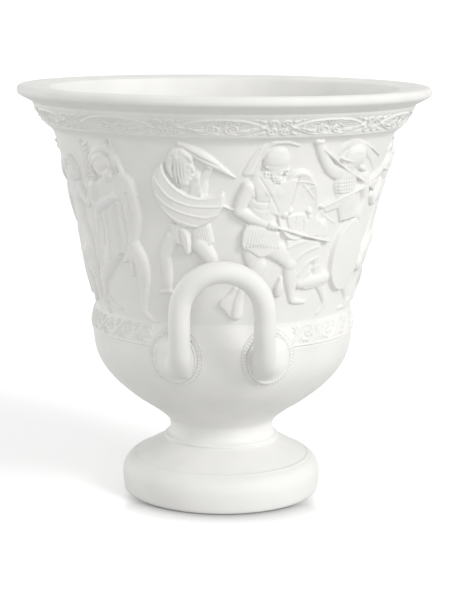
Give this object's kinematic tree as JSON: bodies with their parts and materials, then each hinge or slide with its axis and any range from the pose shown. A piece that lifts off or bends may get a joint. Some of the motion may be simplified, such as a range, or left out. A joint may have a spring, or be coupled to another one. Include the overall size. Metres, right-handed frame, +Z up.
{
  "type": "relief-decorated krater",
  "caption": "Wide-mouthed footed bowl with a carved figure frieze and upturned loop handles, open and hollow, in matte white biscuit porcelain.",
  "frame": {"origin": "centre of the standing ring at floor level", "axes": "+Z up from the foot to the mouth; one handle at -Y (front), the other at +Y"},
  "size_m": [0.4024, 0.4024, 0.406],
  "materials": {
    "biscuit_porcelain": "matte unglazed white"
  },
  "bodies": {
    "root": {"krater": "biscuit_porcelain"}
  },
  "joints": []
}
